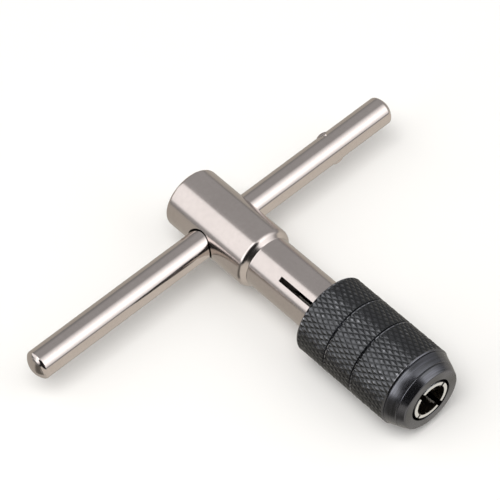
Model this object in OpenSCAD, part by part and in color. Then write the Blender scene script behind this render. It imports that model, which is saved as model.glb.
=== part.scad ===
// T-handle tap wrench with a sliding cross bar and a knurled clamp sleeve.
// +X is the tool axis and points out of the nose, +Y runs along the cross bar and +Z is up.
// The origin is the centre of the round bore in the front of the jaws.

/* [Cross bar] */
// Diameter of the bar
bar_d = 6; // [4:0.5:8]
// Length of the bar over its domed ends
bar_len = 90; // [70:1:120]
// How far the bar's middle sits from the tool axis
bar_shift = -2.65; // [-10:0.05:10]
// Radius of the dome on each end of the bar
bar_dome_r = 4; // [3.5:0.1:8]
// Radius of the rounding between dome and bar
bar_edge = 0.8; // [0.2:0.1:1.5]
// Distance from the tool axis to the staked ears
ear_y = 27.3; // [20:0.1:35]
// Length of an ear along the bar
ear_len = 2.6; // [1:0.1:4]
// Height of an ear above the bar
ear_h = 0.36; // [0.2:0.01:0.4]
// Rounding across an ear
ear_round = 0.7; // [0.5:0.05:1]
// Radius of the punch mark beside each ear
punch_r = 0.5; // [0.3:0.05:0.7]
// Depth of the punch mark
punch_depth = 0.22; // [0.1:0.02:0.3]
// Angle from an ear to its punch mark, around the bar
punch_angle = 27; // [20:1:40]
// Angle of the ears around the bar, from +Z towards -X
ear_angle = 50; // [-180:1:180]

/* [Head] */
// Diameter of the head
head_d = 12.9; // [11:0.1:16]
// Distance from the bar's axis to the far end of the head
head_back = 10.1; // [8:0.1:14]
// Distance from the bar's axis to where the shank begins
head_front = 11.95; // [9:0.05:14]
// Rounding of the head's far edge
head_edge = 0.75; // [0.3:0.05:1.2]
// Slope of the shoulder between head and shank
shoulder_angle = 48; // [30:1:60]
// Rounding where the head turns into the shoulder
shoulder_round = 1.3; // [0.3:0.05:1.6]
// Concave fillet between shoulder and shank
neck_fillet = 0.3; // [0.1:0.05:0.5]
// Diameter of the cross hole
hole_d = 6.3; // [4.1:0.05:8.3]
// Width and depth of the relief around each mouth of the cross hole
hole_relief = 0.14; // [0.05:0.01:0.3]

/* [Shank] */
// Diameter of the plain shank
shank_d = 10.7; // [9:0.1:12]
// Distance from the bar's axis to the jaw bore's centre
bar_to_jaws = 54; // [50:0.5:60]
// Distance from the bar's axis to the square end of the long slot
slot_start = 19.1; // [15:0.1:25]
// Width of the long slot
slot_w = 1.05; // [0.6:0.05:1.5]
// Angle of the long slot around the tool axis, from +Z towards -Y
slot_angle = 35; // [0:1:90]
// Diameter of the clearance bore behind the socket
core_d = 5.2; // [4:0.1:6]
// Distance from the jaw bore's centre to the closed end of the clearance bore
core_depth = 33; // [20:1:40]

/* [Thread] */
// Major diameter of the spindle's thread
thread_d = 10; // [9:0.1:10.4]
// Thread pitch, which is also the sleeve's advance in one turn
thread_pitch = 1; // [0.75:0.25:1.5]
// Depth of a thread groove
thread_depth = 0.5; // [0.3:0.05:0.7]

/* [Jaws] */
// Distance from the jaw bore's centre to the tips of the jaws
jaw_tip = 1.7; // [1:0.1:2]
// Length of each jaw
jaw_len = 14.1; // [10:0.1:16]
// Diameter of the round bore in the front of the jaws
jaw_bore_d = 6.6; // [6.4:0.1:7.2]
// Width across the flats of the square socket with the jaws open
socket_af = 5.2; // [4.4:0.1:5.6]
// Outer diameter of the ring of jaw tips
jaw_tip_d = 8.1; // [8:0.1:8.5]
// Outer diameter of the jaws behind their taper
jaw_d = 9.8; // [9.6:0.1:10]
// Half angle of the clamping taper
taper_angle = 15; // [10:1:20]
// Width of the narrow slit between two jaws
slit_w = 0.6; // [0.3:0.02:0.6]
// Gap between the jaws and the spindle
root_gap = 0.12; // [0.05:0.01:0.2]

/* [Sleeve] */
// Diameter over the knurl
sleeve_d = 16.8; // [15:0.1:19]
// Length of the sleeve from nose to rear
sleeve_len = 26.8; // [24:0.1:30]
// How far the nose face stands in front of the jaw tips
nose_lead = 0; // [0:0.05:0.6]
// Length of the smooth cone
cone_len = 3.95; // [3:0.05:5]
// Diameter of the cone where it meets the knurl
cone_d = 16.3; // [15:0.1:18]
// Diameter of the flat nose face
face_d = 13.4; // [12:0.1:14]
// Diameter of the plain bore in the nose face
mouth_d = 9.2; // [9:0.1:9.8]
// Rounding of the sleeve's outer edges
sleeve_edge = 0.4; // [0.2:0.05:0.8]
// Distance from the nose face to the front dividing groove
groove_front = 12.45; // [10:0.05:15]
// Distance from the nose face to the rear dividing groove
groove_rear = 19.4; // [17:0.05:22]
// Width of a dividing groove
groove_w = 0.4; // [0.2:0.05:0.6]
// Depth of a dividing groove
groove_depth = 0.3; // [0.1:0.05:0.4]
// Outer diameter of the threaded bush inside the sleeve
bush_d = 12.8; // [12:0.1:14]
// How deep the bush sits below the sleeve's rear face
bush_recess = 0.5; // [0:0.1:1]
// Radial clearance of the running fits
fit = 0.06; // [0.02:0.01:0.1]
// Clearance between the sleeve's cone and the open jaws
taper_gap = 0.26; // [0.15:0.01:0.3]

/* [Bar detent] */
// Diameter of the detent ball
ball_d = 2.5; // [2:0.1:3]
// Clearance between the ball and the bar
ball_gap = 0.05; // [0.02:0.01:0.1]
// Wire diameter of the detent spring
wire_d = 0.35; // [0.2:0.05:0.5]
// Outer diameter of the detent spring
spring_d = 2.3; // [1.8:0.1:2.4]
// Number of turns of the detent spring
spring_turns = 4; // [3:1:6]
// Diameter of the grub screw that closes the detent's bore
grub_d = 4; // [3:0.5:5]
// Length of the grub screw
grub_len = 2.6; // [2:0.1:3]
// Width across the flats of the grub screw's socket
grub_af = 2; // [1.5:0.1:2.5]
// Depth of the grub screw's socket
grub_socket = 1.3; // [0.8:0.1:1.6]

/* [Hidden] */
$fn = 96;
eps = 0.01;
// How far a cutting shape reaches past what it cuts
over = 1;
arc_steps = 8;

bar_r = bar_d / 2;
bar_x = -bar_to_jaws;
head_r = head_d / 2;
head_x = bar_x - head_back;
neck_x = bar_x + head_front;
shoulder_x = neck_x - (head_d - shank_d) / 2 / tan(shoulder_angle);
round_x = shoulder_x - shoulder_round * tan(shoulder_angle / 2);
fillet_x = neck_x + neck_fillet * tan(shoulder_angle / 2);
shank_r = shank_d / 2;
hole_r = hole_d / 2;
slot_x = bar_x + slot_start;
core_r = core_d / 2;

jaw_root_x = jaw_tip - jaw_len;
spindle_end_x = jaw_root_x - root_gap;
jaw_r = jaw_d / 2;
taper = tan(taper_angle);
jaw_taper_len = (jaw_d - jaw_tip_d) / 2 / taper;
socket_x = -jaw_tip;

nose_x = jaw_tip + nose_lead;
rear_x = nose_x - sleeve_len;
sleeve_r = sleeve_d / 2;
cone_x = nose_x - cone_len;
cone_angle = atan((cone_d - face_d) / 2 / cone_len);
cavity_r = jaw_r + taper_gap;
// The sleeve's inner cone runs parallel to the jaws' taper, one taper_gap outside it
cone_mouth_r = jaw_tip_d / 2 + taper_gap - nose_lead * taper;
cavity_x = nose_x - (cavity_r - cone_mouth_r) / taper;
mouth_r = mouth_d / 2;
// The plain bore in the nose ends where the inner cone reaches the same radius
mouth_x = nose_x - (mouth_r - cone_mouth_r) / taper;

bush_r = bush_d / 2;
bush_rear_x = rear_x + bush_recess;
bush_front_x = spindle_end_x;
bush_bore_r = shank_r + fit;
thread_r = thread_d / 2;
thread_bore_r = thread_r + fit;
// The shank stops one pitch and a little more behind the bush's threaded length
bush_counterbore = 2.4;
bush_step_x = bush_rear_x + bush_counterbore;
step_gap = 0.3;
shank_end_x = bush_step_x - thread_pitch - step_gap;
relief_len = 1;
relief_r = thread_r - thread_depth - 0.1;
end_chamfer = 0.4;
relief_slope = 0.05;
thread_start = 0.5;
thread_stop = 0.1;
groove_root = thread_pitch / 8;
thread_x = shank_end_x + relief_len;

ball_r = ball_d / 2;
ball_x = bar_x - bar_r - ball_gap - ball_r;
grub_recess = 0.2;
grub_x = head_x + grub_recess;
grub_front_x = grub_x + grub_len;
grub_r = grub_d / 2;
grub_chamfer = 0.3;
ball_bore_r = ball_r + fit;
// A narrower mouth keeps the ball in its bore when the bar is out
mouth_lip = 0.25;
// How far the wide part of the ball's bore reaches past the ball's centre
ball_seat = ball_r * 0.6;
spring_back_x = grub_front_x;
spring_front_x = ball_x - ball_r;
spring_r = (spring_d - wire_d) / 2;
spring_sides = 6;
spring_steps = 14;

// Points of a quarter circle around [cx, cy] from angle a to angle b
function arc(cx, cy, r, a, b) =
    [for (i = [0 : arc_steps]) let (t = a + (b - a) * i / arc_steps) [cx + r * cos(t), cy + r * sin(t)]];

// Turns a profile of [radius, x] points around the tool axis
module turned(points) {
    rotate([0, 90, 0])
        rotate_extrude()
            polygon(points);
}

// A cylinder on the tool axis between two stations
module rod(x0, x1, r) {
    translate([x0, 0, 0])
        rotate([0, 90, 0])
            cylinder(h = x1 - x0, r = r);
}

// A cone on the tool axis between two stations
module cone(x0, x1, r0, r1) {
    translate([x0, 0, 0])
        rotate([0, 90, 0])
            cylinder(h = x1 - x0, r1 = r0, r2 = r1);
}

// A saw cut through the tool axis, between two stations
module saw_cut(x0, x1, width, angle) {
    rotate([angle, 0, 0])
        translate([x0, -width / 2, -head_d])
            cube([x1 - x0, width, 2 * head_d]);
}

// One V groove of the thread, cut around the spindle
module thread_groove(x) {
    turned([[thread_r + eps, x - thread_pitch / 2 + eps],
            [thread_r + eps, x + thread_pitch / 2 - eps],
            [thread_r - thread_depth, x + groove_root / 2],
            [thread_r - thread_depth, x - groove_root / 2]]);
}

// A hole across the head, along the bar
module cross_bore(r) {
    translate([bar_x, 0, 0])
        rotate([90, 0, 0])
            cylinder(h = 2 * head_d, r = r, center = true);
}

// The cross hole, with a shallow relief that follows the rim of each mouth
module cross_hole() {
    cross_bore(hole_r);
    difference() {
        cross_bore(hole_r + hole_relief);
        rod(head_x, neck_x, head_r - hole_relief);
    }
}

// The stepped bore for the detent, from the far end of the head into the cross hole
module detent_bore() {
    rod(head_x - eps, grub_front_x, grub_r + fit);
    rod(grub_front_x - eps, ball_x, ball_bore_r);
    rod(ball_x - eps, ball_x + ball_seat, ball_bore_r);
    rod(ball_x, bar_x, ball_r - mouth_lip + fit);
}

module spindle_blank() {
    turned(concat(
        [[0, head_x]],
        arc(head_r - head_edge, head_x + head_edge, head_edge, -90, 0),
        arc(head_r - shoulder_round, round_x, shoulder_round, 0, shoulder_angle),
        arc(shank_r + neck_fillet, fillet_x, neck_fillet, 180 + shoulder_angle, 180),
        [[shank_r, shank_end_x - end_chamfer],
         [shank_r - end_chamfer, shank_end_x],
         [relief_r, shank_end_x + relief_slope],
         [relief_r, thread_x - end_chamfer],
         [thread_r, thread_x],
         [thread_r, spindle_end_x - end_chamfer],
         [thread_r - end_chamfer, spindle_end_x],
         [0, spindle_end_x]]));
}

module spindle_body() {
    thread_count = floor((spindle_end_x - thread_x - thread_start - thread_stop) / thread_pitch);
    color([0.74, 0.72, 0.70])
        difference() {
            spindle_blank();
            for (i = [0 : thread_count - 1])
                thread_groove(thread_x + thread_start + (i + 0.5) * thread_pitch);
            cross_hole();
            detent_bore();
            rod(-core_depth, 0, core_r);
            saw_cut(slot_x, 0, slot_w, slot_angle);
        }
}

// The four jaws before they are sawn apart, with their bore and square socket
module jaw_ring() {
    difference() {
        union() {
            rod(jaw_root_x, jaw_tip - jaw_taper_len, jaw_r);
            cone(jaw_tip - jaw_taper_len - eps, jaw_tip, jaw_r + eps * taper, jaw_tip_d / 2);
        }
        rod(socket_x, jaw_tip + over, jaw_bore_d / 2);
        rotate([slot_angle - 45, 0, 0])
            translate([jaw_root_x - over, -socket_af / 2, -socket_af / 2])
                cube([jaw_len, socket_af, socket_af]);
        saw_cut(jaw_root_x - over, jaw_tip + over, slot_w, slot_angle);
        saw_cut(jaw_root_x - over, jaw_tip + over, slit_w, slot_angle + 90);
    }
}

// One of the four jaws, counted around the tool axis from the one nearest the top
module jaw(index) {
    color([0.80, 0.79, 0.77])
        intersection() {
            jaw_ring();
            rotate([slot_angle + index * 90, 0, 0])
                translate([jaw_root_x - over, 0, 0])
                    cube([jaw_len + 2 * over, jaw_d, jaw_d]);
        }
}

module jaw_1() {
    jaw(0);
}

module jaw_2() {
    jaw(1);
}

module jaw_3() {
    jaw(2);
}

module jaw_4() {
    jaw(3);
}

module dividing_groove(x) {
    turned([[sleeve_r + eps, x - groove_w / 2],
            [sleeve_r + eps, x + groove_w / 2],
            [sleeve_r - groove_depth, x]]);
}

module chuck_sleeve() {
    color([0.24, 0.24, 0.25])
        difference() {
            turned(concat(
                [[0, rear_x]],
                arc(sleeve_r - sleeve_edge, rear_x + sleeve_edge, sleeve_edge, -90, 0),
                [[sleeve_r, cone_x],
                 [cone_d / 2, cone_x]],
                arc(face_d / 2 - sleeve_edge, nose_x - sleeve_edge, sleeve_edge, cone_angle, 90),
                [[0, nose_x]]));
            dividing_groove(nose_x - groove_front);
            dividing_groove(nose_x - groove_rear);
            rod(rear_x - over, bush_front_x + fit, bush_r + fit);
            rod(bush_front_x, cavity_x, cavity_r);
            cone(cavity_x - eps, nose_x + eps, cavity_r, cone_mouth_r);
            rod(mouth_x, nose_x + over, mouth_r);
        }
}

module sleeve_thread_bush() {
    color([0.45, 0.45, 0.46])
        difference() {
            rod(bush_rear_x, bush_front_x, bush_r);
            rod(bush_rear_x - over, bush_step_x, bush_bore_r);
            rod(bush_step_x - over, bush_front_x + over, thread_bore_r);
        }
}

// The bar lies along Y, with a domed end at each side
module bar_blank() {
    edge_r = bar_r - bar_edge;
    dome_y = bar_len / 2 - bar_dome_r;
    dome_angle = asin(edge_r / (bar_dome_r - bar_edge));
    edge_y = dome_y + edge_r / tan(dome_angle);
    end = concat(
        arc(edge_r, edge_y, bar_edge, 0, 90 - dome_angle),
        arc(0, dome_y, bar_dome_r, 90 - dome_angle, 90));
    other = [for (i = [len(end) - 1 : -1 : 0]) [end[i][0], -end[i][1]]];
    rotate([-90, 0, 0])
        rotate_extrude()
            polygon(concat(end, other));
}

// One ear: the rounded rim of a disc that stands a little out of the bar
module ear() {
    disc_r = (ear_len * ear_len / 4 + ear_h * ear_h) / (2 * ear_h);
    translate([0, 0, bar_r + ear_h - disc_r])
        rotate([0, 90, 0])
            rotate_extrude()
                polygon(concat([[0, -ear_round]],
                               arc(disc_r - ear_round, 0, ear_round, -90, 90),
                               [[0, ear_round]]));
}

// The hollow that the punch left beside an ear
module punch_mark() {
    rotate([0, punch_angle, 0])
        translate([0, 0, bar_r + punch_r - punch_depth])
            sphere(r = punch_r);
}

module tommy_bar() {
    color([0.78, 0.76, 0.74])
        translate([bar_x, 0, 0])
            difference() {
                union() {
                    translate([0, bar_shift, 0])
                        bar_blank();
                    for (side = [0, 180])
                        translate([0, ear_y, 0])
                            rotate([0, side - ear_angle, 0])
                                ear();
                }
                for (side = [0, 180])
                    translate([0, ear_y, 0])
                        rotate([0, side - ear_angle, 0])
                            punch_mark();
            }
}

module detent_ball() {
    color([0.70, 0.70, 0.72])
        translate([ball_x, 0, 0])
            sphere(r = ball_r);
}

// Point k of the ring of wire around turn angle t of the spring
function wire_point(t, k) =
    let (a = 360 * k / spring_sides,
         r = spring_r + wire_d / 2 * cos(a),
         span = spring_front_x - spring_back_x - wire_d - 2 * eps,
         x = spring_back_x + wire_d / 2 + eps + span * t / (360 * spring_turns) + wire_d / 2 * sin(a))
    [x, r * cos(t), r * sin(t)];

module detent_spring() {
    rings = spring_turns * spring_steps;
    points = [for (i = [0 : rings]) for (k = [0 : spring_sides - 1]) wire_point(360 * i / spring_steps, k)];
    sides = [for (i = [0 : rings - 1]) for (k = [0 : spring_sides - 1])
        let (a = i * spring_sides + k,
             b = i * spring_sides + (k + 1) % spring_sides)
        [a, b, b + spring_sides, a + spring_sides]];
    start = [for (k = [spring_sides - 1 : -1 : 0]) k];
    finish = [for (k = [0 : spring_sides - 1]) rings * spring_sides + k];
    color([0.60, 0.60, 0.62])
        polyhedron(points, concat(sides, [start, finish]), convexity = 6);
}

module detent_grub_screw() {
    color([0.30, 0.30, 0.31])
        difference() {
            turned([[0, grub_x],
                    [grub_r - grub_chamfer, grub_x],
                    [grub_r, grub_x + grub_chamfer],
                    [grub_r, grub_front_x - grub_chamfer],
                    [grub_r - grub_chamfer, grub_front_x],
                    [0, grub_front_x]]);
            translate([grub_x - eps, 0, 0])
                rotate([0, 90, 0])
                    cylinder(h = grub_socket, d = grub_af / cos(30), $fn = 6);
        }
}

spindle_body();
jaw_1();
jaw_2();
jaw_3();
jaw_4();
chuck_sleeve();
sleeve_thread_bush();
tommy_bar();
detent_ball();
detent_spring();
detent_grub_screw();
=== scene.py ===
"""The looks of a T-handle tap wrench, built around its CAD frame.

The frame is in metres: +X points out of the nose along the tool axis, +Y runs along the cross bar
and +Z is up. The origin is the centre of the round bore in the front of the jaws.
"""

import math

import bpy
from mathutils import Matrix, Vector
from mathutils import noise as value_noise


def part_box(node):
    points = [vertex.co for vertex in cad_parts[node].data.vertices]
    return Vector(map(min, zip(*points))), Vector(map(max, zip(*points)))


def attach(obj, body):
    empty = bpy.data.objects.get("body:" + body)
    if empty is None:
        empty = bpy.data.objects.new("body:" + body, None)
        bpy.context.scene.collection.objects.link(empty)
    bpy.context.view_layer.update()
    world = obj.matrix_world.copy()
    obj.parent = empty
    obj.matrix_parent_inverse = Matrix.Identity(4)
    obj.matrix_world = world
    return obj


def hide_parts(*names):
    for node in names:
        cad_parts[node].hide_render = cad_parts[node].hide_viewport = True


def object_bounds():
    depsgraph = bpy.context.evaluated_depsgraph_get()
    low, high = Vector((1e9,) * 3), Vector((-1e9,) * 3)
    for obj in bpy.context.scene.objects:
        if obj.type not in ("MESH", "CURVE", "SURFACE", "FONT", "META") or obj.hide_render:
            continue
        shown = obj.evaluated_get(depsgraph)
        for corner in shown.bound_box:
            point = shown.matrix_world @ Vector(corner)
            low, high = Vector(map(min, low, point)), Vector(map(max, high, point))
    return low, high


MM = 0.001

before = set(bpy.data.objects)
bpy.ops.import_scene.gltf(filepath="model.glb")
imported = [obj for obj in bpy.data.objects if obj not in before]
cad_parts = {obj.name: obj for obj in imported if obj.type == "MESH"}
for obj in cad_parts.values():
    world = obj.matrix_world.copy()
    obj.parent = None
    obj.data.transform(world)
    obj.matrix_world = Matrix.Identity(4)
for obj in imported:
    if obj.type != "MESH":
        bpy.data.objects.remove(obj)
cad_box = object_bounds()


# ---------------------------------------------------------------- node helpers


def new_material(name):
    """An empty node material: (material, its node tree, its Principled shader)."""
    material = bpy.data.materials.new(name)
    material.use_nodes = True
    tree = material.node_tree
    return material, tree, tree.nodes["Principled BSDF"]


def plug(tree, value, socket):
    """Sets an input to a number, or links a socket to it."""
    if isinstance(value, (int, float)):
        socket.default_value = value
    else:
        tree.links.new(value, socket)


def math_node(tree, operation, *values):
    """A math node; each input is a number or a socket. Returns its output."""
    node = tree.nodes.new("ShaderNodeMath")
    node.operation = operation
    for i, value in enumerate(values):
        plug(tree, value, node.inputs[i])
    return node.outputs[0]


def vector_node(tree, operation, vector, other=None):
    """A vector math node between a socket and a constant vector. Returns the node."""
    node = tree.nodes.new("ShaderNodeVectorMath")
    node.operation = operation
    tree.links.new(vector, node.inputs[0])
    if other is not None:
        node.inputs[1].default_value = other
    return node


def separate(tree, vector):
    """The x, y and z of a vector socket."""
    split = tree.nodes.new("ShaderNodeSeparateXYZ")
    tree.links.new(vector, split.inputs[0])
    return split.outputs


def ramp(tree, value, low, high, kind="SMOOTHSTEP"):
    """0 at low, 1 at high and a rise between them; high may be the smaller number."""
    node = tree.nodes.new("ShaderNodeMapRange")
    node.interpolation_type = kind
    tree.links.new(value, node.inputs["Value"])
    node.inputs["From Min"].default_value = low
    node.inputs["From Max"].default_value = high
    return node.outputs["Result"]


def between(tree, value, low, high):
    """value, from 0 to 1, carried on to low..high."""
    node = tree.nodes.new("ShaderNodeMapRange")
    tree.links.new(value, node.inputs["Value"])
    node.inputs["To Min"].default_value = low
    node.inputs["To Max"].default_value = high
    return node.outputs["Result"]


def mix_numbers(tree, factor, first, second):
    """first where factor is 0 and second where it is 1; each is a number or a socket."""
    node = tree.nodes.new("ShaderNodeMix")
    tree.links.new(factor, node.inputs[0])
    plug(tree, first, node.inputs[2])
    plug(tree, second, node.inputs[3])
    return node.outputs[0]


def mix_colors(tree, factor, first, second):
    """first where factor is 0 and second where it is 1; each is a colour or a socket."""
    node = tree.nodes.new("ShaderNodeMix")
    node.data_type = "RGBA"
    tree.links.new(factor, node.inputs["Factor"])
    for name, color in (("A", first), ("B", second)):
        socket = [s for s in node.inputs if s.name == name and s.type == "RGBA"][0]
        if isinstance(color, tuple):
            socket.default_value = (*color, 1)
        else:
            tree.links.new(color, socket)
    return [s for s in node.outputs if s.type == "RGBA"][0]


# ---------------------------------------------------------------- the stage

CAMERA_TARGET = Vector((-46.4, -0.5, 0)) * MM
CAMERA_DISTANCE = 484.1 * MM
CAMERA_AZIMUTH = math.radians(51.88)
CAMERA_ELEVATION = math.radians(52.53)
CAMERA_ROLL = math.radians(-5.03)
CAMERA_LENS = 184.5
CAMERA_SENSOR = 36.0
CAMERA_NEAR = 10 * MM      # nothing nearer than this is seen

FLOOR_SIZE = 6.0
FLOOR_COLOR = (0.84, 0.825, 0.80, 1)
FLOOR_ROUGHNESS = 0.7
FLOOR_SPECULAR = 0.2

LAMP_SIZE = 0.9
LAMP_POWER = 9.2
LAMP_PLACE = (0.25, -0.35, 1.1)


def make_camera():
    """A level camera turned about its own axis by the roll, looking at the target."""
    data = bpy.data.cameras.new("camera")
    data.lens = CAMERA_LENS
    data.sensor_width = CAMERA_SENSOR
    data.clip_start = CAMERA_NEAR
    back = Vector((math.sin(CAMERA_AZIMUTH) * math.cos(CAMERA_ELEVATION),
                   -math.cos(CAMERA_AZIMUTH) * math.cos(CAMERA_ELEVATION),
                   math.sin(CAMERA_ELEVATION)))
    camera = bpy.data.objects.new("camera", data)
    bpy.context.scene.collection.objects.link(camera)
    facing = back.to_track_quat("Z", "Y").to_matrix().to_4x4()
    place = Matrix.Translation(CAMERA_TARGET + back * CAMERA_DISTANCE)
    camera.matrix_world = place @ facing @ Matrix.Rotation(CAMERA_ROLL, 4, "Z")
    bpy.context.scene.camera = camera


def show_plain_levels():
    """Shows the light as it is, without a film curve."""
    bpy.context.scene.view_settings.view_transform = "Standard"


def make_floor():
    """A plain pale table top under the wrench. The metal mirrors the room's lower half instead of it."""
    low = cad_box[0][2]
    mesh = bpy.data.meshes.new("floor")
    half = FLOOR_SIZE / 2
    corners = [(-half, -half, low), (half, -half, low), (half, half, low), (-half, half, low)]
    mesh.from_pydata(corners, [], [(0, 1, 2, 3)])
    floor = bpy.data.objects.new("floor", mesh)
    bpy.context.scene.collection.objects.link(floor)
    material, tree, shader = new_material("floor")
    shader.inputs["Base Color"].default_value = FLOOR_COLOR
    shader.inputs["Roughness"].default_value = FLOOR_ROUGHNESS
    shader.inputs["Specular IOR Level"].default_value = FLOOR_SPECULAR
    mesh.materials.append(material)
    floor.visible_glossy = False


def make_lamp():
    """A large soft lamp that lights the table from the front and isn't mirrored in the metal."""
    data = bpy.data.lights.new("table_lamp", "AREA")
    data.shape = "DISK"
    data.size = LAMP_SIZE
    data.energy = LAMP_POWER
    lamp = bpy.data.objects.new("table_lamp", data)
    bpy.context.scene.collection.objects.link(lamp)
    lamp.location = LAMP_PLACE
    lamp.rotation_euler = (CAMERA_TARGET - lamp.location).to_track_quat("-Z", "Y").to_euler()
    lamp.visible_glossy = False


# ---------------------------------------------------------------- the room that the metal mirrors

# Brightness of the room's parts
ROOM_LIGHT = 0.40
BACK_WALL_LOSS = 0.13      # how much darker the room is towards -X
SIDE_LIGHT = 1.25
SIDE_EDGE_LIGHT = 2.0      # the part of the side light that isn't far back
FRONT_LIGHT = 2.2
HORIZON_LIGHT = 0.24
DARK_LIGHT = 0.02          # the opening and the gap beside the front light
LOW_LIGHT = 0.48           # below the horizon, where a warm grey stands in for the table
LOW_FRONT_LIGHT = 0.72     # the same towards +X
LOW_CORNER_LIGHT = 0.15    # the same in a corner towards -Y
LOW_COLOR = (1, 0.95, 0.85)
WHITE = (1, 1, 1)

# Where the parts fade in: the x, y or z of the direction where each is absent and where it is full
BACK_WALL_X = (-0.65, -0.9)
SIDE_Y = (-0.06, -0.14)
SIDE_Z = (0.09, 0.24)
SIDE_EDGE_X = (-0.42, -0.22)
FRONT_X = (-0.2, 0.75)
FRONT_Z = (-0.2, 0.65)
ABOVE_HORIZON_Z = (0.05, 0.12)
GAP_X = (0.04, 0.17)
GAP_Y = (0, -0.15)
LOW_Z = (0, -0.08)
LOW_FRONT_X = (-0.3, 0.45)
LOW_CORNER_BACK_X = (-0.35, -0.15)
LOW_CORNER_FRONT_X = (0.32, 0.16)
LOW_CORNER_Y = (-0.42, -0.62)
# The lower half reaches above the horizon far back
LOW_BACK_X = (-0.82, -0.88)
LOW_BACK_Z = (0.3, 0.22)

OPENING_DIRECTION = (0.62, -0.49, 0.60)
OPENING_COSINE = (0.76, 0.82)


def upper_room(tree, direction, x, y, z):
    """The level above the horizon: a grey tent with two soft lights, a dark opening and a dark gap."""
    side = math_node(tree, "MULTIPLY", ramp(tree, y, *SIDE_Y), ramp(tree, z, *SIDE_Z))
    side_level = mix_numbers(tree, ramp(tree, x, *SIDE_EDGE_X), SIDE_LIGHT, SIDE_EDGE_LIGHT)
    side = math_node(tree, "MULTIPLY", side, side_level)
    front = math_node(tree, "MULTIPLY", ramp(tree, x, *FRONT_X, "LINEAR"),
                      ramp(tree, z, *FRONT_Z, "LINEAR"))
    front = math_node(tree, "MULTIPLY", front, FRONT_LIGHT)
    back_wall = ramp(tree, x, *BACK_WALL_X)
    room = math_node(tree, "MULTIPLY_ADD", back_wall, -BACK_WALL_LOSS, ROOM_LIGHT)
    level = math_node(tree, "MAXIMUM", room, math_node(tree, "MAXIMUM", side, front))
    level = mix_numbers(tree, ramp(tree, z, *ABOVE_HORIZON_Z), HORIZON_LIGHT, level)
    towards_opening = vector_node(tree, "DOT_PRODUCT", direction, Vector(OPENING_DIRECTION).normalized())
    opening = ramp(tree, towards_opening.outputs["Value"], *OPENING_COSINE)
    gap = math_node(tree, "MULTIPLY", ramp(tree, x, *GAP_X), ramp(tree, y, *GAP_Y))
    return mix_numbers(tree, math_node(tree, "MAXIMUM", opening, gap), level, DARK_LIGHT)


def lower_room(tree, x, y):
    """The level below the horizon, brighter towards +X and dark in a corner towards -Y."""
    low = mix_numbers(tree, ramp(tree, x, *LOW_FRONT_X), LOW_LIGHT, LOW_FRONT_LIGHT)
    corner = math_node(tree, "MULTIPLY", ramp(tree, x, *LOW_CORNER_BACK_X),
                       ramp(tree, x, *LOW_CORNER_FRONT_X))
    corner = math_node(tree, "MULTIPLY", corner, ramp(tree, y, *LOW_CORNER_Y))
    return mix_numbers(tree, corner, low, LOW_CORNER_LIGHT)


def make_room():
    """The world: a grey light tent above the horizon and a warm grey below it."""
    world = bpy.data.worlds.new("studio")
    bpy.context.scene.world = world
    world.use_nodes = True
    tree = world.node_tree
    background = tree.nodes["Background"]
    direction = tree.nodes.new("ShaderNodeTexCoord").outputs["Generated"]
    x, y, z = separate(tree, direction)
    low_back = math_node(tree, "MULTIPLY", ramp(tree, x, *LOW_BACK_X), ramp(tree, z, *LOW_BACK_Z))
    below = math_node(tree, "MAXIMUM", ramp(tree, z, *LOW_Z), low_back)
    level = mix_numbers(tree, below, upper_room(tree, direction, x, y, z), lower_room(tree, x, y))
    tree.links.new(level, background.inputs["Strength"])
    tree.links.new(mix_colors(tree, below, WHITE, LOW_COLOR), background.inputs["Color"])


# ---------------------------------------------------------------- materials

# Places inside the tool, where the metal is painted dark as shade; an axis is a point on it and the
# two directions across it
TOOL_AXIS = ((0, 0, 0), (0, 1, 1))
BAR_AXIS = ((-54 * MM, 0, 0), (1, 0, 1))
HOLE_RADIUS = 3.31 * MM
BARE_RADIUS = 5.2 * MM     # what lies nearer to the tool axis in front of BORES_START is inside
BORES_START = -36 * MM
DETENT_RADIUS = 2.1 * MM
SAW_ANGLE = math.radians(35)   # of the long slot around the tool axis, from +Z towards -Y
SLOT_HALF = 0.54 * MM
SLIT_HALF = 0.315 * MM
JAW_BORE_RADIUS = 3.35 * MM

NICKEL_DARK = (0.61, 0.548, 0.524)
NICKEL_LIGHT = (0.71, 0.642, 0.616)
# The next colour is painted shade for the spindle's slot and bores
NICKEL_BORE_SHADE = (0.03, 0.026, 0.024)
JAW_DULL = (0.83, 0.84, 0.85)
JAW_BRIGHT = (0.96, 0.97, 0.98)
# Painted shade and painted highlight flecks for the jaws' bore, socket and sawn faces
JAW_PAINTED_SHADE = (0.14, 0.125, 0.105)
JAW_PAINTED_GLINT = (0.97, 0.93, 0.86)
OXIDE_TURNED_DARK = (0.105, 0.107, 0.112)
OXIDE_TURNED_LIGHT = (0.185, 0.187, 0.215)
# Painted shade for the knurl's valleys
OXIDE_VALLEY_SHADE = (0.055, 0.056, 0.058)
OXIDE_CREST = (0.120, 0.122, 0.130)
# Rubbed wear and painted glints on the knurl's crests
OXIDE_WORN_GLINT = (0.36, 0.36, 0.38)
# Painted shade for the sleeve's inside
OXIDE_INSIDE_SHADE = (0.025, 0.025, 0.026)

# The attribute "crest" holds the knurl's height from 0 to 1, and one of these where there is none
TURNED_HEIGHT = 2.0
INNER_HEIGHT = -1.0


def object_coordinates(tree):
    """A point's place in its own mesh, which moves with its body."""
    return tree.nodes.new("ShaderNodeTexCoord").outputs["Object"]


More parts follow.
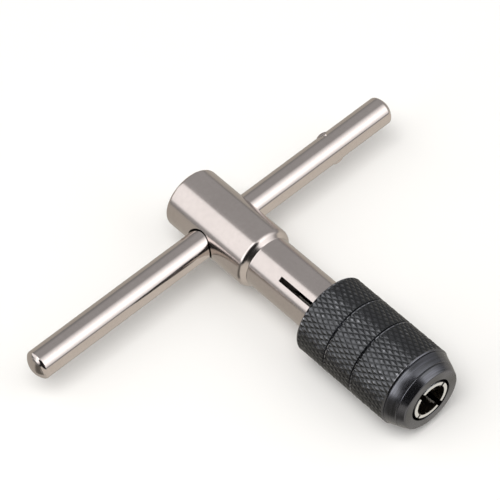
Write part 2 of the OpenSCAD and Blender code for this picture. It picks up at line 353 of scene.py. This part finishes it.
def noise(tree, coordinates, scale, detail=3.0, stretch=(1, 1, 1), roughness=0.5):
    """A noise texture over stretched coordinates, in lumps of about 1 / scale. Returns its value."""
    mapping = tree.nodes.new("ShaderNodeMapping")
    mapping.inputs["Scale"].default_value = stretch
    tree.links.new(coordinates, mapping.inputs["Vector"])
    node = tree.nodes.new("ShaderNodeTexNoise")
    node.inputs["Scale"].default_value = scale
    node.inputs["Detail"].default_value = detail
    node.inputs["Roughness"].default_value = roughness
    tree.links.new(mapping.outputs[0], node.inputs["Vector"])
    return node.outputs["Fac"]


def bump(tree, shader, height, strength, depth):
    """Raises the surface by a height from 0 to 1, of a depth in metres."""
    node = tree.nodes.new("ShaderNodeBump")
    node.inputs["Strength"].default_value = strength
    node.inputs["Distance"].default_value = depth
    tree.links.new(height, node.inputs["Height"])
    tree.links.new(node.outputs[0], shader.inputs["Normal"])


def axis_distance(tree, where, axis=TOOL_AXIS):
    """Distance from an axis."""
    point, across = axis
    offset = vector_node(tree, "SUBTRACT", where, point)
    flat = vector_node(tree, "MULTIPLY", offset.outputs[0], across)
    return vector_node(tree, "LENGTH", flat.outputs[0]).outputs["Value"]


def spindle_shaded_inside(tree, where):
    """1 in the slot and the bores of the spindle, where dark painted shade goes, and 0 outside."""
    radius = axis_distance(tree, where)
    front = math_node(tree, "GREATER_THAN", separate(tree, where)[0], BORES_START)
    inside = math_node(tree, "MULTIPLY", math_node(tree, "LESS_THAN", radius, BARE_RADIUS), front)
    inside = math_node(tree, "MAXIMUM", inside, math_node(tree, "LESS_THAN", radius, DETENT_RADIUS))
    cross = math_node(tree, "LESS_THAN", axis_distance(tree, where, BAR_AXIS), HOLE_RADIUS)
    return math_node(tree, "MAXIMUM", inside, cross)


def near_cut(tree, where, angle, half):
    """1 on the faces of a saw cut through the tool axis, and 0 away from it."""
    across = vector_node(tree, "DOT_PRODUCT", where, (0, math.cos(angle), math.sin(angle)))
    return math_node(tree, "LESS_THAN", math_node(tree, "ABSOLUTE", across.outputs["Value"]), half)


def jaw_inside(tree, where):
    """1 in the jaws' bore and socket and on their sawn faces, and 0 outside."""
    inside = math_node(tree, "LESS_THAN", axis_distance(tree, where), JAW_BORE_RADIUS)
    for angle, half in ((SAW_ANGLE, SLOT_HALF), (SAW_ANGLE + math.pi / 2, SLIT_HALF)):
        inside = math_node(tree, "MAXIMUM", inside, near_cut(tree, where, angle, half))
    return inside


def nickel(name, grain, roughness, paint_bore_shade=False):
    """Bright nickel plate; grain stretches the fine marks of the turning or drawing underneath."""
    material, tree, shader = new_material(name)
    where = object_coordinates(tree)
    marks = noise(tree, where, scale=1000, detail=4, stretch=grain, roughness=0.6)
    cloud = noise(tree, where, scale=120)
    mottle = noise(tree, where, scale=1500)
    share = 0.5
    blend = math_node(tree, "MULTIPLY_ADD", cloud, share, math_node(tree, "MULTIPLY", mottle, share))
    plate = mix_colors(tree, between(tree, blend, low=-0.2, high=1.2), NICKEL_DARK, NICKEL_LIGHT)
    # Painted shade: the spindle's slot and bores are coloured near black
    if paint_bore_shade:
        plate = mix_colors(tree, spindle_shaded_inside(tree, where), plate, NICKEL_BORE_SHADE)
    streaks = between(tree, marks, low=roughness - 0.04, high=roughness + 0.04)
    patches = between(tree, cloud, low=-0.02, high=0.02)
    shader.inputs["Metallic"].default_value = 1
    tree.links.new(plate, shader.inputs["Base Color"])
    tree.links.new(math_node(tree, "ADD", streaks, patches), shader.inputs["Roughness"])
    bump(tree, shader, marks, strength=0.35, depth=0.004 * MM)
    return material


def jaw_steel(name):
    """Bright turned steel outside; the bore, the socket and the sawn faces are painted dark as shade, with
    rougher flecks of painted highlight.
    """
    material, tree, shader = new_material(name)
    where = object_coordinates(tree)
    marks = noise(tree, where, scale=1000, detail=4, stretch=(4, 0.6, 0.6), roughness=0.6)
    bright = mix_colors(tree, marks, JAW_DULL, JAW_BRIGHT)
    inside = jaw_inside(tree, where)
    # Painted highlights: bright, rougher flecks on the painted shade inside the jaws
    glint_noise = noise(tree, where, scale=900, detail=2, stretch=(0.5, 1, 1))
    glint_fleck = ramp(tree, glint_noise, low=0.53, high=0.6)
    dark = mix_colors(tree, glint_fleck, JAW_PAINTED_SHADE, JAW_PAINTED_GLINT)
    glint_flecks_inside = math_node(tree, "MULTIPLY", glint_fleck, inside)
    added_roughness = 0.35
    rough = math_node(tree, "MULTIPLY_ADD", glint_flecks_inside, added_roughness,
                      between(tree, marks, low=0.22, high=0.36))
    shader.inputs["Metallic"].default_value = 1
    tree.links.new(mix_colors(tree, inside, bright, dark), shader.inputs["Base Color"])
    tree.links.new(rough, shader.inputs["Roughness"])
    bump(tree, shader, marks, strength=0.4, depth=0.006 * MM)
    return material


def black_oxide(name):
    """Satin black oxide: painted darker in the knurl's valleys as shade, lighter on its highest crests as
    rubbed wear and painted glints, bluer where turned, and painted near black inside as shade.
    """
    material, tree, shader = new_material(name)
    where = object_coordinates(tree)
    cloud = noise(tree, where, scale=260, detail=4)
    fine = noise(tree, where, scale=2600)
    rings = noise(tree, where, scale=900, stretch=(5, 0.25, 0.25))
    crest = tree.nodes.new("ShaderNodeAttribute")
    crest.attribute_name = "crest"
    height = crest.outputs["Fac"]
    turned = mix_colors(tree, between(tree, rings, low=-0.6, high=1.6),
                        OXIDE_TURNED_DARK, OXIDE_TURNED_LIGHT)
    # Painted shade: the knurl's valleys are coloured darker than its crests
    slope = ramp(tree, height, low=0, high=0.8, kind="LINEAR")
    knurled = mix_colors(tree, slope, OXIDE_VALLEY_SHADE, OXIDE_CREST)
    # Rubbed wear and painted glints: the highest crests are lighter in uneven patches
    worn_and_glint = math_node(tree, "MULTIPLY", ramp(tree, height, low=0.55, high=0.9),
                     ramp(tree, cloud, low=0.47, high=0.62))
    knurled = mix_colors(tree, worn_and_glint, knurled, OXIDE_WORN_GLINT)
    outer = mix_colors(tree, ramp(tree, height, low=1.2, high=TURNED_HEIGHT), knurled, turned)
    # Painted shade: the sleeve's inside is coloured near black
    inner_shade = ramp(tree, height, low=-0.05, high=-0.5)
    shader.inputs["Metallic"].default_value = 1
    tree.links.new(mix_colors(tree, inner_shade, outer, OXIDE_INSIDE_SHADE), shader.inputs["Base Color"])
    tree.links.new(between(tree, fine, low=0.18, high=0.32), shader.inputs["Roughness"])
    ring_share = 0.8
    marks = math_node(tree, "MULTIPLY_ADD", rings, ring_share, fine)
    bump(tree, shader, marks, strength=0.35, depth=0.006 * MM)
    return material


def dull_steel(name, color, roughness):
    """Plain machined steel for what sits inside."""
    material, tree, shader = new_material(name)
    where = object_coordinates(tree)
    marks = noise(tree, where, scale=1400, stretch=(3, 0.8, 0.8))
    shade = 0.75
    darker = tuple(channel * shade for channel in color)
    shader.inputs["Metallic"].default_value = 1
    tree.links.new(mix_colors(tree, marks, darker, color), shader.inputs["Base Color"])
    rough = between(tree, marks, low=roughness - 0.06, high=roughness + 0.08)
    tree.links.new(rough, shader.inputs["Roughness"])
    bump(tree, shader, marks, strength=0.4, depth=0.005 * MM)
    return material


# ---------------------------------------------------------------- the knurled sleeve

KNURL_STARTS = 45
KNURL_STEPS = 8            # lattice steps in one period of the knurl, both ways
KNURL_SLANT = math.radians(30.7)
KNURL_DEPTH = 0.17 * MM
KNURL_FLAT = 0.74          # share of the height at which the diamonds are cut flat
WEAR_SIZE = 0.7 * MM       # size of the uneven patches of the knurl
WEAR_LOW = 0.45            # share of the knurl's height that is left where it is weakest
SHARP_ANGLE = math.radians(28)   # edges between faces that differ by more stay sharp

SLEEVE_RADIUS = 8.4 * MM
REAR_EDGE = 0.4 * MM
GROOVE_FRONT = 12.45 * MM  # from the nose face back to the front dividing groove
GROOVE_REAR = 19.4 * MM
GROOVE_DEPTH = 0.45 * MM
GROOVE_WALL = 0.10 * MM    # from a dividing groove's row back to its bottom
GROOVE_LAND = 0.12 * MM    # from the same row forward to where its bright front facet ends
GROOVE_LAND_DROP = 0.02 * MM
KNURL_CHAMFER = 0.4 * MM   # the turned ring between the knurl and the cone

CONE_LENGTH = 3.95 * MM
CONE_RADIUS = 8.15 * MM
CONE_LINE = 1.65 * MM      # from the nose face back to the turned line around the cone
FACE_RADIUS = 6.7 * MM
FACE_EDGE = 0.4 * MM

MOUTH_RADIUS = 4.6 * MM
MOUTH_EDGE = 0.1 * MM
CONE_MOUTH_RADIUS = 4.31 * MM   # of the inner cone, carried on to the nose face
INNER_SLOPE = math.tan(math.radians(15))
CAVITY_RADIUS = 5.16 * MM
POCKET_RADIUS = 6.46 * MM
POCKET_EDGE = 0.2 * MM
POCKET_DEPTH = 12.6 * MM   # from the rear face to the shoulder that the bush rests on

# Turned details as steps forward and outward, in mm: the ring's from where the knurl ends at the
# sleeve's radius, the groove's from the cone's large end, and the line's from the cone's surface
RING_STEPS = ((0.15, -0.04), (0.34, -0.16))
CONE_GROOVE_STEPS = ((0, -0.13), (0.06, -0.13), (0.12, -0.06), (0.24, -0.06))
CONE_LINE_STEPS = ((-0.12, 0.05), (-0.05, -0.11), (0.04, -0.12), (0.17, -0.06))

# What a point of the section has in place of a row of the knurl's lattice
TURNED = None
INNER = -1


def triangle_wave(value):
    """0 at whole numbers and 1 half way between them."""
    part = value - math.floor(value)
    return 1 - abs(2 * part - 1)


def knurl_height(column, row):
    """Height of the knurl at a lattice point, from 0 in its grooves to 1 on its crests."""
    one_way = triangle_wave((column + row) / KNURL_STEPS)
    other_way = triangle_wave((column - row) / KNURL_STEPS)
    return min(one_way, other_way, KNURL_FLAT) / KNURL_FLAT


def knurl_wear(x, angle):
    """How much of the knurl's height is left at a place, from WEAR_LOW to 1: the rolling was uneven."""
    place = Vector((x, SLEEVE_RADIUS * math.sin(angle), SLEEVE_RADIUS * math.cos(angle))) / WEAR_SIZE
    return 1 - (1 - WEAR_LOW) * (0.5 + 0.5 * value_noise.noise(place))


def turned_arc(cx, cr, radius, start, end, steps=5):
    """Points of a turned arc around (cx, cr); angles in degrees from +X to the outside."""
    angles = [math.radians(start + (end - start) * i / steps) for i in range(steps + 1)]
    return [(cx + radius * math.cos(a), cr + radius * math.sin(a), TURNED) for a in angles]


def turned_steps(x, radius, steps):
    """Points of a turned detail, from its steps."""
    return [(x + along * MM, radius + out * MM, TURNED) for along, out in steps]


def knurled_section(start, end, grooves_at):
    """The knurl's rows from start to end, with a dividing groove in place of the row at some places."""
    row_gap = math.pi * 2 * SLEEVE_RADIUS / KNURL_STARTS / math.tan(KNURL_SLANT) / KNURL_STEPS
    grooves = [round((x - start) / row_gap) for x in grooves_at]
    section = []
    for row in range(int((end - start) / row_gap) + 1):
        x = start + row * row_gap
        if row in grooves:
            section.append((x - GROOVE_WALL, SLEEVE_RADIUS - GROOVE_DEPTH, TURNED))
            section.append((x + GROOVE_LAND, SLEEVE_RADIUS - GROOVE_LAND_DROP, TURNED))
        else:
            section.append((x, SLEEVE_RADIUS, row))
    return section


def inner_section(rear, nose):
    """The inside of the sleeve, from the mouth back along the inner cone and the cavity to the pocket."""
    mouth_x = nose - (MOUTH_RADIUS - CONE_MOUTH_RADIUS) / INNER_SLOPE
    cavity_x = nose - (CAVITY_RADIUS - CONE_MOUTH_RADIUS) / INNER_SLOPE
    pocket_x = rear + POCKET_DEPTH
    return [(nose, MOUTH_RADIUS + MOUTH_EDGE, TURNED),
            (nose - MOUTH_EDGE, MOUTH_RADIUS, INNER),
            (mouth_x, MOUTH_RADIUS, INNER),
            (cavity_x, CAVITY_RADIUS, INNER),
            (pocket_x, CAVITY_RADIUS, INNER),
            (pocket_x, POCKET_RADIUS, INNER),
            (rear + POCKET_EDGE, POCKET_RADIUS, INNER),
            (rear, POCKET_RADIUS + POCKET_EDGE, TURNED)]


def sleeve_section(rear, nose):
    """The sleeve's closed half section as (x, radius, row); row is TURNED or INNER off the knurl."""
    cone_start = nose - CONE_LENGTH
    knurl_start = rear + REAR_EDGE
    knurl_end = cone_start - KNURL_CHAMFER
    line_share = (CONE_LENGTH - CONE_LINE) / CONE_LENGTH
    line_radius = CONE_RADIUS + (FACE_RADIUS - CONE_RADIUS) * line_share
    cone_slope = math.degrees(math.atan2(CONE_RADIUS - FACE_RADIUS, CONE_LENGTH))
    section = turned_arc(knurl_start, SLEEVE_RADIUS - REAR_EDGE, REAR_EDGE, start=180, end=110)
    section += knurled_section(knurl_start, knurl_end, (nose - GROOVE_FRONT, nose - GROOVE_REAR))
    section += turned_steps(knurl_end, SLEEVE_RADIUS, RING_STEPS)
    section += turned_steps(cone_start, CONE_RADIUS, CONE_GROOVE_STEPS)
    section += turned_steps(nose - CONE_LINE, line_radius, CONE_LINE_STEPS)
    section += turned_arc(nose - FACE_EDGE, FACE_RADIUS - FACE_EDGE, FACE_EDGE,
                          start=90 - cone_slope, end=0)
    return section + inner_section(rear, nose)


def sleeve_points(section, columns):
    """The section turned around the tool axis with the knurl raised in it, and each point's crest value."""
    points, crests = [], []
    for x, radius, row in section:
        for column in range(columns):
            angle = 2 * math.pi * column / columns
            height, r = TURNED_HEIGHT, radius
            if row == INNER:
                height = INNER_HEIGHT
            elif row is not TURNED:
                height = knurl_height(column, row) * knurl_wear(x, angle)
                r = radius - KNURL_DEPTH * (1 - height)
            points.append((x, r * math.sin(angle), r * math.cos(angle)))
            crests.append(height)
    return points, crests


def sleeve_faces(section, columns):
    """Quads between the turned rows, and triangles that follow the knurl's diagonals between its own."""
    faces = []
    count = len(section)
    for i in range(count):
        j = (i + 1) % count
        row = section[i][2]
        knurled = row not in (TURNED, INNER) and section[j][2] is not TURNED
        for column in range(columns):
            beside = (column + 1) % columns
            a, b = i * columns + column, i * columns + beside
            c, d = j * columns + beside, j * columns + column
            if not knurled:
                faces.append((a, b, c, d))
            elif (column - row) % 2 == 0:
                faces += [(a, b, c), (a, c, d)]
            else:
                faces += [(a, b, d), (b, c, d)]
    return faces


def make_sleeve():
    """The knurled clamp sleeve as one closed mesh."""
    low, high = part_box("chuck_sleeve")
    section = sleeve_section(low.x, high.x)
    columns = KNURL_STARTS * KNURL_STEPS
    points, crests = sleeve_points(section, columns)
    faces = sleeve_faces(section, columns)
    mesh = bpy.data.meshes.new("knurled_sleeve")
    mesh.from_pydata(points, [], faces)
    mesh.validate()
    crest = mesh.attributes.new("crest", "FLOAT", "POINT")
    crest.data.foreach_set("value", crests)
    mesh.polygons.foreach_set("use_smooth", [len(face) == 4 for face in faces])
    mesh.set_sharp_from_angle(angle=SHARP_ANGLE)
    sleeve = bpy.data.objects.new("knurled_sleeve", mesh)
    bpy.context.scene.collection.objects.link(sleeve)
    mesh.materials.append(black_oxide("black_oxide"))
    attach(sleeve, "sleeve")
    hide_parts("chuck_sleeve")


# ---------------------------------------------------------------- finishes of the CAD pieces

# The plain pieces inside: node, material, colour and roughness
INSIDE_PIECES = (
    ("sleeve_thread_bush", "bush_steel", (0.45, 0.45, 0.46), 0.4),
    ("detent_ball", "ball_steel", (0.75, 0.75, 0.77), 0.15),
    ("detent_spring", "spring_steel", (0.55, 0.55, 0.57), 0.3),
    ("detent_grub_screw", "screw_steel", (0.12, 0.12, 0.13), 0.4),
)


def finish_node(name, material):
    """Puts a material in every slot of a CAD node."""
    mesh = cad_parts[name].data
    for i in range(len(mesh.materials)):
        mesh.materials[i] = material


def finish_cad_nodes():
    """Gives every CAD node that stays its finish."""
    turned = nickel("nickel_spindle", grain=(3, 0.5, 0.5), roughness=0.18, paint_bore_shade=True)
    drawn = nickel("nickel_bar", grain=(3, 0.15, 3), roughness=0.11)
    finish_node("spindle_body", turned)
    finish_node("tommy_bar", drawn)
    jaw_finish = jaw_steel("jaw_steel")
    for name in ("jaw_1", "jaw_2", "jaw_3", "jaw_4"):
        finish_node(name, jaw_finish)
    for name, material, color, roughness in INSIDE_PIECES:
        finish_node(name, dull_steel(material, color, roughness))


make_camera()
show_plain_levels()
make_floor()
make_room()
make_lamp()
make_sleeve()
finish_cad_nodes()

bpy.context.view_layer.update()
